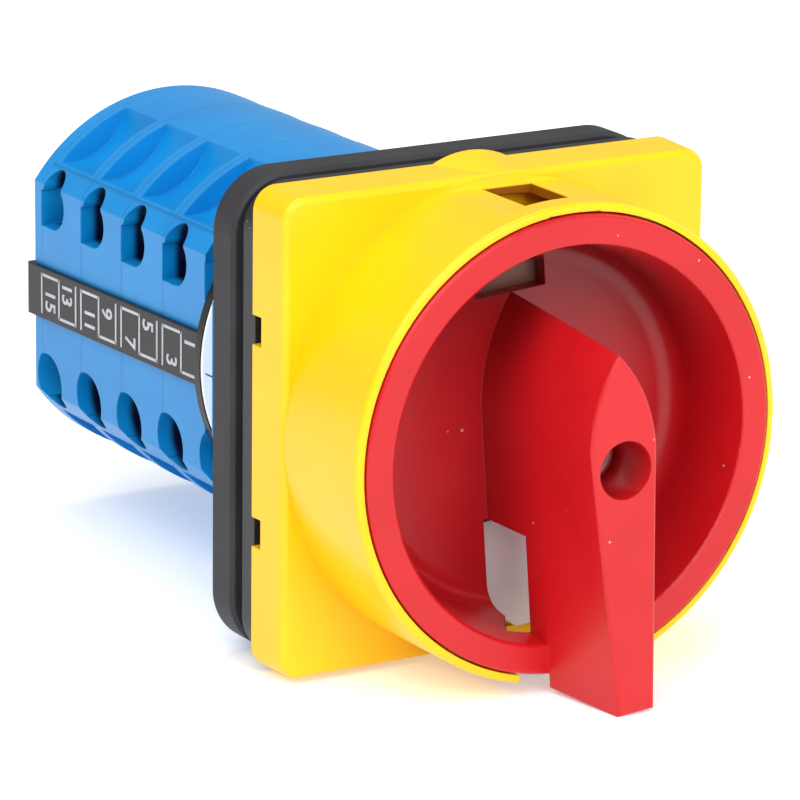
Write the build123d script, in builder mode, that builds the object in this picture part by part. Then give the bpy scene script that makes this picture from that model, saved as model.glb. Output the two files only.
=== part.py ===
"""A panel-mounted rotary isolator switch with four contact decks and a padlockable handle.

The origin is on the switch's axis in the plane of the panel's front face. The handle is at -Y,
the contact decks at +Y behind the panel, and +Z is up. Every length is in millimetres.
"""

import os

from math import cos, pi, radians, sin, sqrt

from build123d import *

os.makedirs("parts", exist_ok=True)

# Gasket, frame and yellow front plate, from the panel outwards
PLATE_SIDE = 64.0
PLATE_DEPTH = 7.45
PLATE_CORNER = 3.2
PLATE_DRAFT = 2.5
PLATE_WALL = 2.2
PLATE_EDGE = 0.9
GASKET_DEPTH = 5.0
GASKET_CORNER = 8.0
GASKET_WINDOW = 29.0
FRAME_DEPTH = 5.24
FRAME_GROOVE = 2.1
FRAME_CORNER = 6.0
FRAME_FLOOR = 3.0
BOLT_SPACING = 48.0
BOLT_HOLE = 2.25

# Collar on the front plate, with its flat and window on top and the shackle gap below
COLLAR_RADIUS = 31.5
COLLAR_DEPTH = 17.9
COLLAR_LIP = 0.7
COLLAR_FLAT = 30.4
WINDOW_WIDTH = 7.4
WINDOW_DEPTH = 11.7
WINDOW_SETBACK = 4.6
SHACKLE_GAP = 14.0
BUMP_RADIUS = 12.7
BUMP_RISE = 1.3
RELEASE_CENTRE = 13.4
RELEASE_HEIGHT = 3.9
RELEASE_DEPTH = 2.1

# Handle: a cup with a flanged rim, a grip across it and a hub behind it
RIM_RADIUS = 30.1
RIM_INNER = 26.2
RIM_DEPTH = 2.7
RIM_PROUD = 0.4
CUP_RADIUS = 28.3
CUP_REAR_RADIUS = 26.4
CUP_FLOOR_RADIUS = 24.0
CUP_DEPTH = 13.0
CUP_FLOOR = 2.0
GRIP_REACH = 12.4
GRIP_HALF_WIDTH = 4.85
GRIP_FOOT_HALF_WIDTH = 5.3
GRIP_TAIL_HALF_WIDTH = 2.6
GRIP_WIDEST = 2.5
GRIP_NOSE_RADIUS = 18.5
GRIP_TAIL = 32.5
GRIP_TAIL_REAR = 31.4
GRIP_TAIL_FOOT = 27.0
GRIP_NOSE_LEAN = 2.2
HUB_RADIUS = 8.0
HUB_LENGTH = 9.0
LOCK_STEM = 11.8
LOCK_STEM_TOP = 12.0
LOCK_HEAD = 21.0
LOCK_HEAD_TOP = 24.0
LOCK_HEAD_BOTTOM = 29.0
LOCK_TUNNEL = 9.0
TOP_SLOT_WIDTH = 10.4
TOP_SLOT_BOTTOM = 17.5
TOP_SLOT_TOP = 23.0

# Padlock slide and its spring, behind the cup's floor
SLIDE_TRAVEL = 3.0
SLIDE_THICKNESS = 2.0
SLIDE_HALF_WIDTH = 9.8
SLIDE_RADIUS = 25.2
SLIDE_REACH = 28.6
SLIDE_TONGUE = 12.4
SLIDE_NOTCH = -4.15
SLIDE_NOTCH_DEPTH = 1.4
SLIDE_SPRING_END = 13.3
SLIDE_SPRING_SLOT = 9.0
SLIDE_SPRING_RADIUS = 1.1
SLIDE_SPRING_WIRE = 0.16

# Square shaft and the screw that holds the handle on it
SHAFT_SIDE = 6.0
SHAFT_END = 69.9
SHAFT_TAP = 1.75
SCREW_HEAD = 3.4
SCREW_HEAD_THICKNESS = 2.2
SCREW_LENGTH = 11.0
SCREW_SINK = 7.4
SCREW_WELL = 3.8
WASHER_RADIUS = 3.6
WASHER_THICKNESS = 0.6
WELL_FLOOR = 1.7

# Flag ring that shows 0 or I in the window
FLAG_WIDTH = 4.7
FLAG_THICKNESS = 0.65

# Body outline, shared by the latch housing, the decks and the rear cover
BODY_RADIUS = 26.2
BODY_FLAT = 21.5
HOUSING_LENGTH = 19.2
FLANGE_SIDE = 56.0
FLANGE_DEPTH = 4.0
CARD_RADIUS = 23.0
CARD_THICKNESS = 0.4
RING_RADIUS = 23.2
RING_THICKNESS = 1.5
DECKS = 4
DECK_PITCH = 11.8
DECK_WEB = 3.4
COVER_THICKNESS = 2.6

# Latch inside the housing
STAR_RADIUS = 11.5
STAR_NOTCH = 2.2
STAR_FRONT = 7.0
STAR_THICKNESS = 5.0
LATCH_CAVITY = 12.1
LATCH_FRONT = 6.0
DETENT_TIP = 11.6
DETENT_WIDTH = 6.0
DETENT_LENGTH = 7.0
DETENT_TRAVEL = 1.2
DETENT_ROOF = 24.0
STOP_FRONT = 13.0
STOP_THICKNESS = 3.0
STOP_HUB = 9.0
STOP_LUG_HALF_ANGLE = 12.0
STOP_GAP_ANGLE = 0.8
TURN = 90.0
REST_SLACK = 4.5

# Switching parts of one deck: heights are from the axis, depths from the deck's front
CAM_HIGH = 8.0
CAM_LOW = 6.0
CAM_CHAMBER = 8.6
CAM_HUB = 5.5
TIP_CLEARANCE = 0.08
TIP_RADIUS = 1.2
PLUNGER_WIDTH = 6.8
PLUNGER_SHOULDER = 10.4
BRIDGE_DEPTH = 7.6
BRIDGE_WIDTH = 4.4
BRIDGE_HALF_LENGTH = 10.6
BRIDGE_THICKNESS = 1.0
CONTACT_REACH = 9.4
CONTACT_RADIUS = 1.2
CONTACT_RISE = 0.5
CONTACT_GAP = 0.05
STRIP_TOP = 12.4
STRIP_THICKNESS = 1.0
STRIP_INNER = 7.2
STRIP_FRONT = 5.6
STRIP_WIDTH = 5.8
CHAMBER_HALF_LENGTH = 11.0
CHEEK_RISE = 0.6
SPRING_ROOF = 22.6
SPRING_RADIUS = 1.7
SPRING_WIRE = 0.22
SPRING_TURNS = 6

# Terminals, reached through the holes in the body's side flats
TERMINAL_FACE = 14.2
TERMINAL_THICKNESS = 2.0
TERMINAL_HEIGHT = 12.75
TERMINAL_DEPTH = 9.3
TERMINAL_BLOCK = 5.0
POCKET_RADIUS = 3.4
POCKET_LEAD = 0.7
POCKET_DROP = 0.45
POCKET_TOP_RADIUS = 2.5
POCKET_TOP_RISE = 1.95
LEAF_TIP = 3.45
LEAF_LEAN = 2.55
LEAF_DROP = 0.55
LEAF_LAG = 0.4
CLAMP_THICKNESS = 1.0
CLAMP_RADIUS = 2.35
TERMINAL_SCREW_HEAD = 2.3
TERMINAL_SCREW_RADIUS = 1.5
TERMINAL_HEAD_THICKNESS = 1.8

# Hollows in the corners of each deck, between thin ribs
SCOOP_RADIUS = 9.0
SCOOP_DISTANCE = 32.0
SCOOP_ANGLE = 33.3
SCOOP_MARGIN = 1.25

# Fasteners and label strips
TIE_OFFSET = 16.5
TIE_RADIUS = 1.5
TIE_HEAD = 2.75
TIE_HEAD_THICKNESS = 1.8
NUT_RADIUS = 3.1
NUT_THICKNESS = 2.4
NUT_FRONT = 0.6
FRAME_SCREW_PLACE = 12.0
FRAME_SCREW_RADIUS = 1.5
FRAME_SCREW_HEAD = 2.75
FRAME_SCREW_HEAD_THICKNESS = 1.5
FRAME_SCREW_REACH = 5.0
LABEL_HEIGHT = 7.3
LABEL_DROP = 1.2
LABEL_THICKNESS = 0.8
LABEL_WRAP = 2.0
LABEL_START = 0.2

# Clearances
RUNNING = 0.06
LOOSE = 0.1
RIM_CLEARANCE = 0.25
SQUARE_CLEARANCE = 0.05

# Depths along the axis that several pieces share
frame_rear = -GASKET_DEPTH
plate_rear = frame_rear - FRAME_DEPTH
plate_front = plate_rear - PLATE_DEPTH
plate_inside = plate_front + PLATE_WALL
collar_front = plate_front - COLLAR_DEPTH
rim_front = collar_front - RIM_PROUD
flange_rear = rim_front + RIM_DEPTH
floor_front = rim_front + CUP_DEPTH
floor_rear = floor_front + CUP_FLOOR
grip_front = rim_front - GRIP_REACH
hub_rear = floor_rear + HUB_LENGTH
bore_radius = CUP_RADIUS + FLAG_THICKNESS + RIM_CLEARANCE + LOOSE
head_front = grip_front + SCREW_SINK
washer_front = head_front + SCREW_HEAD_THICKNESS
well_floor = washer_front + WASHER_THICKNESS
socket_front = well_floor + WELL_FLOOR
shaft_front = socket_front + LOOSE
slide_front = floor_rear + 0.4
slide_middle = slide_front + SLIDE_THICKNESS / 2
card_front = HOUSING_LENGTH
ring_front = card_front + CARD_THICKNESS
decks_front = ring_front + RING_THICKNESS
cover_front = decks_front + DECKS * DECK_PITCH
cover_rear = cover_front + COVER_THICKNESS
cam_drop = CAM_HIGH - CAM_LOW
bridge_bottom = STRIP_TOP + 2 * CONTACT_RISE + cam_drop + CONTACT_GAP
bridge_top = bridge_bottom + BRIDGE_THICKNESS
chamber_top = bridge_top + CHEEK_RISE + 2 * LOOSE
screw_base = TERMINAL_FACE + CLAMP_THICKNESS
slack = radians(REST_SLACK)
sides = [-1, 1]
corners = [(x, z) for x in sides for z in sides]


def across(depth):
    """Give the plane across the axis at a depth, with local x along X and local y along Z."""
    return Plane.XZ.offset(-depth)


def deck_front(number):
    """Give the depth of the front face of one deck, counted from 1."""
    return decks_front + (number - 1) * DECK_PITCH


def turned(depth):
    """Give the plane across the axis at a depth, turned with the rotor at rest against its stop."""
    return Plane(origin=(0, depth, 0), x_dir=(cos(slack), 0, sin(slack)), z_dir=(0, -1, 0))


def body_outline():
    """Draw the body's outline, a circle with a flat on each side."""
    Circle(BODY_RADIUS)
    Rectangle(2 * BODY_FLAT, 2 * BODY_RADIUS, mode=Mode.INTERSECT)


def cut_disc(depth, radius, length, places=((0, 0),)):
    """Cut round holes rearwards from a depth at the given places across the axis."""
    with BuildSketch(across(depth)) as holes:
        with Locations(*places):
            Circle(radius)
    extrude(holes.sketch, amount=-length, mode=Mode.SUBTRACT)


def cut_block(low, high):
    """Cut a block between two opposite corners."""
    size = [high[i] - low[i] for i in range(3)]
    middle = [(high[i] + low[i]) / 2 for i in range(3)]
    with Locations(tuple(middle)):
        Box(*size, mode=Mode.SUBTRACT)


def square_hole(depth, length):
    """Cut the square hole that the shaft passes through."""
    with BuildSketch(turned(depth)) as hole:
        Rectangle(SHAFT_SIDE + 2 * SQUARE_CLEARANCE, SHAFT_SIDE + 2 * SQUARE_CLEARANCE)
    extrude(hole.sketch, amount=-length, mode=Mode.SUBTRACT)


def bolt_places():
    """Give the four places of the panel bolts."""
    return [(x * BOLT_SPACING / 2, z * BOLT_SPACING / 2) for x, z in corners]


def frame_screw_places():
    """Give the two places of the screws between frame and housing, on one diagonal."""
    return [(FRAME_SCREW_PLACE, -FRAME_SCREW_PLACE), (-FRAME_SCREW_PLACE, FRAME_SCREW_PLACE)]


def tie_places():
    """Give the two places of the bolts that hold the decks together."""
    return [(side * TIE_OFFSET, 0) for side in sides]


def make_gasket():
    """Make the rubber seal between the frame and the panel."""
    with BuildPart() as gasket:
        with BuildSketch(across(0)):
            RectangleRounded(PLATE_SIDE, PLATE_SIDE, GASKET_CORNER)
            Rectangle(GASKET_WINDOW, GASKET_WINDOW, mode=Mode.SUBTRACT)
        extrude(amount=GASKET_DEPTH)
        chamfer(gasket.faces().sort_by(Axis.Y)[0].outer_wire().edges(), 0.5)
        cut_disc(frame_rear, BOLT_HOLE, GASKET_DEPTH, bolt_places())
        cut_disc(frame_rear, FRAME_SCREW_RADIUS + LOOSE, GASKET_DEPTH, frame_screw_places())
    gasket.part.label = "gasket"
    export_step(gasket.part, "parts/gasket.step")


def make_base_frame():
    """Make the black frame with its groove, its bearing tube and the tongues that hold the plate."""
    inner = PLATE_SIDE - 2 * PLATE_WALL
    tongue = 1.5
    tongue_reach = 3.4
    with BuildPart() as base_frame:
        with BuildSketch(across(frame_rear)):
            RectangleRounded(PLATE_SIDE - 3, PLATE_SIDE - 3, FRAME_CORNER - 1)
        extrude(amount=FRAME_GROOVE)
        with BuildSketch(across(frame_rear - FRAME_GROOVE)):
            RectangleRounded(PLATE_SIDE - 0.8, PLATE_SIDE - 0.8, FRAME_CORNER)
        extrude(amount=FRAME_DEPTH - FRAME_GROOVE)
        with BuildSketch(across(plate_rear)):
            RectangleRounded(inner - 6, inner - 6, PLATE_CORNER)
        extrude(amount=-(FRAME_DEPTH - FRAME_FLOOR), mode=Mode.SUBTRACT)
        with BuildSketch(across(frame_rear)):
            Circle(HUB_RADIUS + 3)
        extrude(amount=frame_rear - plate_inside - 3 * LOOSE)
        cut_disc(plate_inside - 1, HUB_RADIUS + RUNNING, 12)
        for side_x, side_z in corners:
            middle = (side_x * (inner / 2 - 1.5 - tongue / 2), plate_rear, side_z * RELEASE_CENTRE)
            with Locations(middle):
                Box(tongue, 2 * tongue_reach, 6)
        cut_disc(plate_rear - 1, BOLT_HOLE, FRAME_DEPTH + 1, bolt_places())
        cut_disc(plate_rear - 1, FRAME_SCREW_RADIUS + LOOSE, FRAME_DEPTH + 1, frame_screw_places())
    base_frame.part.label = "base_frame"
    export_step(base_frame.part, "parts/base_frame.step")


def make_frame_screws():
    """Make the two screws that draw the frame and the latch housing together."""
    head_rear = frame_rear - FRAME_FLOOR
    reach = FRAME_SCREW_REACH - head_rear
    with BuildPart() as frame_screws:
        with BuildSketch(across(head_rear)):
            with Locations(*frame_screw_places()):
                Circle(FRAME_SCREW_HEAD)
        extrude(amount=FRAME_SCREW_HEAD_THICKNESS)
        chamfer(frame_screws.faces().group_by(Axis.Y)[0].edges(), 0.4)
        with BuildSketch(across(head_rear)):
            with Locations(*frame_screw_places()):
                Circle(FRAME_SCREW_RADIUS)
        extrude(amount=-reach)
        with BuildSketch(across(head_rear - FRAME_SCREW_HEAD_THICKNESS)):
            with Locations(*frame_screw_places()):
                Rectangle(3.4, 0.7)
                Rectangle(0.7, 3.4)
        extrude(amount=-0.8, mode=Mode.SUBTRACT)
    frame_screws.part.label = "frame_screws"
    export_step(frame_screws.part, "parts/frame_screws.step")


def make_front_plate():
    """Make the hollow yellow front plate with its collar, window, bump and gaps."""
    inner = PLATE_SIDE - 2 * PLATE_WALL
    half = PLATE_SIDE / 2
    half_flat = sqrt(COLLAR_RADIUS**2 - COLLAR_FLAT**2)
    window_front = collar_front + WINDOW_SETBACK
    bump_end = BUMP_RADIUS - BUMP_RISE - 0.5
    with BuildPart() as front_plate:
        with BuildSketch(across(plate_rear)):
            RectangleRounded(PLATE_SIDE, PLATE_SIDE, PLATE_CORNER)
        extrude(amount=PLATE_DEPTH, taper=PLATE_DRAFT)
        fillet(front_plate.faces().sort_by(Axis.Y)[0].edges(), PLATE_EDGE)
        with BuildSketch(across(plate_rear)):
            with Locations((0, half + BUMP_RISE - BUMP_RADIUS)):
                Circle(BUMP_RADIUS)
        with BuildSketch(across(plate_front)):
            with Locations((0, half + BUMP_RISE - BUMP_RADIUS)):
                Circle(bump_end)
        loft()
        with BuildSketch(across(plate_front + 1)):
            Circle(COLLAR_RADIUS)
        extrude(amount=COLLAR_DEPTH + 1)
        lip = front_plate.faces().sort_by(Axis.Y)[0].outer_wire().edges()
        fillet(lip, COLLAR_LIP)
        with BuildSketch(Plane.YZ.offset(-half_flat)):
            with BuildLine():
                Polyline(
                    (plate_front + 0.4, COLLAR_RADIUS + 2),
                    (plate_front - 1.4, COLLAR_FLAT),
                    (window_front - 0.8, COLLAR_FLAT),
                    (window_front - 2.0, COLLAR_RADIUS + 2),
                    close=True,
                )
            make_face()
        extrude(amount=2 * half_flat, mode=Mode.SUBTRACT)
        with BuildSketch(across(plate_rear)):
            RectangleRounded(inner, inner, PLATE_CORNER - 1)
        extrude(amount=PLATE_DEPTH - PLATE_WALL, mode=Mode.SUBTRACT)
        cut_disc(collar_front, RIM_RADIUS + RIM_CLEARANCE, RIM_DEPTH - RIM_PROUD + 0.3)
        cut_disc(collar_front, bore_radius, COLLAR_DEPTH)
        cut_disc(plate_front, HUB_RADIUS + 1, PLATE_WALL)
        cut_block(
            (-WINDOW_WIDTH / 2, window_front, bore_radius - 2),
            (WINDOW_WIDTH / 2, window_front + WINDOW_DEPTH, COLLAR_RADIUS + 1),
        )
        cut_block(
            (-SHACKLE_GAP / 2, collar_front - 1, -COLLAR_RADIUS - 1),
            (SHACKLE_GAP / 2, plate_front - 0.6, -bore_radius + 4),
        )
        for side_x, side_z in corners:
            middle_z = side_z * RELEASE_CENTRE
            reach = sorted((side_x * (half - PLATE_WALL - 1), side_x * (half + 1)))
            cut_block(
                (reach[0], plate_rear - RELEASE_DEPTH, middle_z - RELEASE_HEIGHT / 2),
                (reach[1], plate_rear + 1, middle_z + RELEASE_HEIGHT / 2),
            )
    front_plate.part.label = "front_plate"
    export_step(front_plate.part, "parts/front_plate.step")


def grip_outline(half_width, tail_half_width, tail, lean):
    """Draw the grip's pointed outline: two arcs meet at the nose and the sides run to the tail."""
    nose = GRIP_WIDEST + sqrt(GRIP_NOSE_RADIUS**2 - (GRIP_NOSE_RADIUS - half_width) ** 2) + lean
    bulge = (GRIP_WIDEST + nose) / 2
    bulge_width = half_width * 0.76
    with BuildLine() as outline:
        Line((-tail_half_width, -tail), (tail_half_width, -tail))
        Line((tail_half_width, -tail), (half_width, GRIP_WIDEST))
        ThreePointArc((half_width, GRIP_WIDEST), (bulge_width, bulge), (0, nose))
        ThreePointArc((0, nose), (-bulge_width, bulge), (-half_width, GRIP_WIDEST))
        Line((-half_width, GRIP_WIDEST), (-tail_half_width, -tail))
    make_face(outline.edges())


def cut_opening(width, bottom, top, forward):
    """Cut a rectangular opening through the cup's floor, reaching some way forward of the floor."""
    with BuildSketch(turned(floor_front - forward)) as opening:
        with Locations((0, (bottom + top) / 2)):
            Rectangle(width, top - bottom)
    extrude(opening.sketch, amount=-(forward + CUP_FLOOR), mode=Mode.SUBTRACT)


def make_handle():
    """Make the red handle: grip, cup with its flanged rim and openings, and the hub."""
    middle_lean = GRIP_NOSE_LEAN / 2
    middle_width = (GRIP_HALF_WIDTH + GRIP_FOOT_HALF_WIDTH) / 2
    with BuildPart() as handle:
        with BuildSketch(turned(grip_front)):
            grip_outline(GRIP_HALF_WIDTH, GRIP_TAIL_HALF_WIDTH, GRIP_TAIL, 0)
        with BuildSketch(turned(rim_front)):
            grip_outline(middle_width, middle_width, GRIP_TAIL_REAR, middle_lean)
        loft(ruled=True)
        fillet(handle.faces().sort_by(Axis.Y)[0].edges(), 0.5)
        with BuildSketch(turned(rim_front)):
            grip_outline(middle_width, middle_width, GRIP_TAIL_FOOT, middle_lean)
        with BuildSketch(turned(floor_front + 0.5)):
            foot = GRIP_FOOT_HALF_WIDTH
            grip_outline(foot, foot, GRIP_TAIL_FOOT, GRIP_NOSE_LEAN)
        loft(ruled=True)
        with BuildSketch(Plane.XY) as cup_profile:
            with BuildLine():
                Polyline(
                    (0, floor_rear),
                    (CUP_REAR_RADIUS, floor_rear),
                    (CUP_REAR_RADIUS, flange_rear + FLAG_WIDTH),
                    (CUP_RADIUS, flange_rear + FLAG_WIDTH),
                    (CUP_RADIUS, flange_rear),
                    (RIM_RADIUS, flange_rear),
                    (RIM_RADIUS, rim_front),
                    (RIM_INNER, rim_front),
                    (CUP_FLOOR_RADIUS, floor_front),
                    (0, floor_front),
                    close=True,
                )
            make_face()
            fillet(cup_profile.vertices().sort_by_distance((CUP_FLOOR_RADIUS, floor_front))[0], 3.0)
            fillet(cup_profile.vertices().sort_by_distance((RIM_RADIUS, rim_front))[0], 0.5)
            fillet(cup_profile.vertices().sort_by_distance((RIM_INNER, rim_front))[0], 0.4)
        revolve(axis=Axis.Y)
        with BuildSketch(across(floor_rear - 0.5)):
            Circle(HUB_RADIUS)
        extrude(amount=-HUB_LENGTH - 0.5)
        cut_opening(LOCK_STEM, -LOCK_HEAD_TOP, -LOCK_STEM_TOP, LOCK_TUNNEL)
        cut_opening(LOCK_HEAD, -LOCK_HEAD_BOTTOM, -LOCK_HEAD_TOP, LOCK_TUNNEL)
        cut_opening(TOP_SLOT_WIDTH, TOP_SLOT_BOTTOM, TOP_SLOT_TOP, 0)
        cut_disc(grip_front, SCREW_WELL, well_floor - grip_front)
        cut_disc(well_floor, SHAFT_TAP + 2 * LOOSE, WELL_FLOOR)
        square_hole(socket_front, hub_rear - socket_front)
    handle.part.label = "handle"
    export_step(handle.part, "parts/handle.step")


def make_handle_screw():
    """Make the cross-recessed screw in the grip."""
    with BuildPart() as handle_screw:
        with BuildSketch(across(washer_front)):
            Circle(SCREW_HEAD)
        extrude(amount=SCREW_HEAD_THICKNESS)
        fillet(handle_screw.faces().sort_by(Axis.Y)[0].edges(), 1.0)
        with BuildSketch(across(washer_front)):
            Circle(SHAFT_TAP)
        extrude(amount=-SCREW_LENGTH)
        with BuildSketch(across(head_front)):
            Rectangle(3.8, 0.8)
            Rectangle(0.8, 3.8)
        extrude(amount=-1.3, taper=12, mode=Mode.SUBTRACT)
    handle_screw.part.label = "handle_screw"
    export_step(handle_screw.part, "parts/handle_screw.step")


def make_handle_washer():
    """Make the washer under the handle's screw."""
    with BuildPart() as handle_washer:
        with BuildSketch(across(well_floor)):
            Circle(WASHER_RADIUS)
            Circle(SHAFT_TAP, mode=Mode.SUBTRACT)
        extrude(amount=WASHER_THICKNESS)
    handle_washer.part.label = "handle_washer"
    export_step(handle_washer.part, "parts/handle_washer.step")


def make_shaft():
    """Make the square steel shaft, tapped at the front for the handle's screw."""
    with BuildPart() as shaft:
        with BuildSketch(turned(shaft_front)):
            Rectangle(SHAFT_SIDE, SHAFT_SIDE)
        extrude(amount=-(SHAFT_END - shaft_front))
        chamfer(shaft.faces().sort_by(Axis.Y)[-1].edges(), 0.4)
        cut_disc(shaft_front, SHAFT_TAP, SCREW_LENGTH)
    shaft.part.label = "shaft"
    export_step(shaft.part, "parts/shaft.step")


def make_indicator_ring():
    """Make the white ring on the cup whose figures show in the window."""
    with BuildPart() as indicator_ring:
        with BuildSketch(across(flange_rear)):
            Circle(CUP_RADIUS + FLAG_THICKNESS)
            Circle(CUP_RADIUS, mode=Mode.SUBTRACT)
        extrude(amount=-FLAG_WIDTH)
    indicator_ring.part.label = "indicator_ring"
    export_step(indicator_ring.part, "parts/indicator_ring.step")


def make_lock_slide():
    """Make the white padlock slide, with its slot for the hub and a notch in its lower edge."""
    hub_slot = HUB_RADIUS + 0.3
    with BuildPart() as lock_slide:
        with BuildSketch(turned(slide_front)):
            Circle(SLIDE_RADIUS)
            Rectangle(2 * SLIDE_HALF_WIDTH, 2 * SLIDE_RADIUS, mode=Mode.INTERSECT)
            with Locations((0, -SLIDE_RADIUS)):
                Rectangle(SLIDE_TONGUE, 2 * (SLIDE_REACH - SLIDE_RADIUS))
            with Locations((0, 0), (0, -SLIDE_TRAVEL)):
                Circle(hub_slot, mode=Mode.SUBTRACT)
            with Locations((0, -SLIDE_TRAVEL / 2)):
                Rectangle(2 * hub_slot, SLIDE_TRAVEL, mode=Mode.SUBTRACT)
            with Locations((0, -SLIDE_SPRING_END / 2)):
                Rectangle(SLIDE_SPRING_SLOT, SLIDE_SPRING_END, mode=Mode.SUBTRACT)
            with BuildLine():
                Polyline(
                    (SLIDE_NOTCH, -SLIDE_REACH - 1),
                    (SLIDE_NOTCH, -SLIDE_REACH + SLIDE_NOTCH_DEPTH),
                    (SLIDE_NOTCH + 2.2, -SLIDE_REACH + SLIDE_NOTCH_DEPTH),
                    (SLIDE_NOTCH + 3.8, -SLIDE_REACH),
                    (SLIDE_NOTCH + 3.8, -SLIDE_REACH - 1),
                    close=True,
                )
            make_face(mode=Mode.SUBTRACT)
        extrude(amount=-SLIDE_THICKNESS)
    lock_slide.part.label = "lock_slide"
    export_step(lock_slide.part, "parts/lock_slide.step")


def coil(base, height, radius, wire, turns):
    """Wind one compression spring along +Z from a base point."""
    with BuildLine() as path:
        Helix(height / turns, height, radius, center=base, direction=(0, 0, 1))
    with BuildSketch(Plane(origin=path.line @ 0, z_dir=path.line % 0)) as section:
        Circle(wire)
    sweep(section.sketch, path=path.line, is_frenet=True)


def make_lock_spring():
    """Make the spring that pushes the padlock slide down from the hub."""
    height = SLIDE_SPRING_END - HUB_RADIUS - 2 * SLIDE_SPRING_WIRE - LOOSE
    base = -SLIDE_SPRING_END + SLIDE_SPRING_WIRE + LOOSE / 2
    with BuildPart() as lock_spring:
        coil((0, slide_middle, base), height, SLIDE_SPRING_RADIUS, SLIDE_SPRING_WIRE, 5)
    lock_spring.part.label = "lock_spring"
    export_step(lock_spring.part.rotate(Axis.Y, -REST_SLACK), "parts/lock_spring.step")


def pocket_outline(side_z):
    """Draw one terminal hole about its screw: keyhole shaped above the label, leaf shaped below."""
    if side_z > 0:
        with Locations((-POCKET_LEAD, -POCKET_DROP)):
            Circle(POCKET_RADIUS)
        with Locations((POCKET_RADIUS / 2 - POCKET_LEAD, -POCKET_DROP - POCKET_RADIUS / 4)):
            Rectangle(POCKET_RADIUS, 1.5 * POCKET_RADIUS)
        with Locations((-POCKET_LEAD, POCKET_TOP_RISE)):
            Circle(POCKET_TOP_RADIUS)
        return
    upper = (LEAF_LAG + LEAF_LEAN, LEAF_TIP - LEAF_DROP)
    lower = (LEAF_LAG - LEAF_LEAN, -LEAF_TIP - LEAF_DROP)
    with BuildLine() as leaf:
        ThreePointArc(upper, (LEAF_LAG + POCKET_RADIUS, -LEAF_DROP - 0.8), lower)
        ThreePointArc(lower, (LEAF_LAG - POCKET_RADIUS, -LEAF_DROP + 0.8), upper)
    make_face(leaf.edges())


def cut_pockets(depth, bottom):
    """Cut the four terminal holes of one row about a depth, down to a distance from the axis."""
    for side_x, side_z in corners:
        place = (side_x * bottom, depth, side_z * TERMINAL_HEIGHT)
        with BuildSketch(Plane(origin=place, x_dir=(0, 1, 0), z_dir=(1, 0, 0))) as pocket:
            pocket_outline(side_z)
        extrude(pocket.sketch, amount=side_x * (BODY_RADIUS - bottom), mode=Mode.SUBTRACT)


def cut_scoops(front, length):
    """Cut the four hollows in the body's corners between two ribs."""
    angle = radians(SCOOP_ANGLE)
    places = [(x * SCOOP_DISTANCE * sin(angle), z * SCOOP_DISTANCE * cos(angle)) for x, z in corners]
    cut_disc(front + SCOOP_MARGIN, SCOOP_RADIUS, length - 2 * SCOOP_MARGIN, places)


def make_latch_housing():
    """Make the blue housing behind the panel that holds the latch and takes the panel bolts."""
    nut_radius = NUT_RADIUS + LOOSE
    guide = DETENT_WIDTH / 2 + RUNNING
    guide_roof = DETENT_TIP + DETENT_LENGTH + DETENT_TRAVEL + LOOSE
    with BuildPart() as latch_housing:
        with BuildSketch(across(0)):
            RectangleRounded(FLANGE_SIDE, FLANGE_SIDE, 4)
        extrude(amount=-FLANGE_DEPTH)
        with BuildSketch(across(FLANGE_DEPTH)):
            body_outline()
        extrude(amount=-(HOUSING_LENGTH - FLANGE_DEPTH))
        cut_disc(0, BOLT_HOLE, FLANGE_DEPTH, bolt_places())
        cut_disc(0, HUB_RADIUS, LATCH_FRONT)
        cut_disc(LATCH_FRONT, LATCH_CAVITY, STOP_FRONT - LATCH_FRONT - 0.3)
        cut_disc(STOP_FRONT - 0.3, STOP_HUB + 0.3, HOUSING_LENGTH)
        with BuildSketch(across(STOP_FRONT - 0.3)):
            lug_sweep(STOP_LUG_HALF_ANGLE + STOP_GAP_ANGLE, TURN, REST_SLACK, LATCH_CAVITY)
        extrude(amount=-HOUSING_LENGTH, mode=Mode.SUBTRACT)
        for side in sides:
            cut_block(
                (-guide, STAR_FRONT - LOOSE, min(0, side * guide_roof)),
                (guide, STAR_FRONT + STAR_THICKNESS + LOOSE, max(0, side * guide_roof)),
            )
            cut_block(
                (-SPRING_RADIUS - 0.5, STAR_FRONT + 0.2, min(0, side * DETENT_ROOF)),
                (SPRING_RADIUS + 0.5, STAR_FRONT + STAR_THICKNESS - 0.2, max(0, side * DETENT_ROOF)),
            )
        cut_disc(0, TIE_RADIUS + LOOSE, HOUSING_LENGTH, tie_places())
        with BuildSketch(across(0)):
            with Locations(*tie_places()):
                RegularPolygon(nut_radius, 6)
        extrude(amount=-(NUT_FRONT + NUT_THICKNESS), mode=Mode.SUBTRACT)
        cut_disc(0, FRAME_SCREW_RADIUS, FRAME_SCREW_REACH, frame_screw_places())
        cut_pockets(deck_front(0) + TERMINAL_DEPTH, BODY_FLAT - 4)
        cut_scoops(FLANGE_DEPTH, HOUSING_LENGTH - FLANGE_DEPTH)
    latch_housing.part.label = "latch_housing"
    export_step(latch_housing.part, "parts/latch_housing.step")


def lug_sweep(half_angle, sweep_angle, slack_angle, radius):
    """Draw the sector that the stop lug sweeps: left of straight down, and a little right of it."""
    start = 270 - sweep_angle - half_angle
    size = sweep_angle + slack_angle + 2 * half_angle
    with BuildLine() as sector:
        first = PolarLine((0, 0), radius, start)
        last = PolarLine((0, 0), radius, start + size)
        RadiusArc(first @ 1, last @ 1, -radius, short_sagitta=size < 180)
    make_face(sector.edges())


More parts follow.
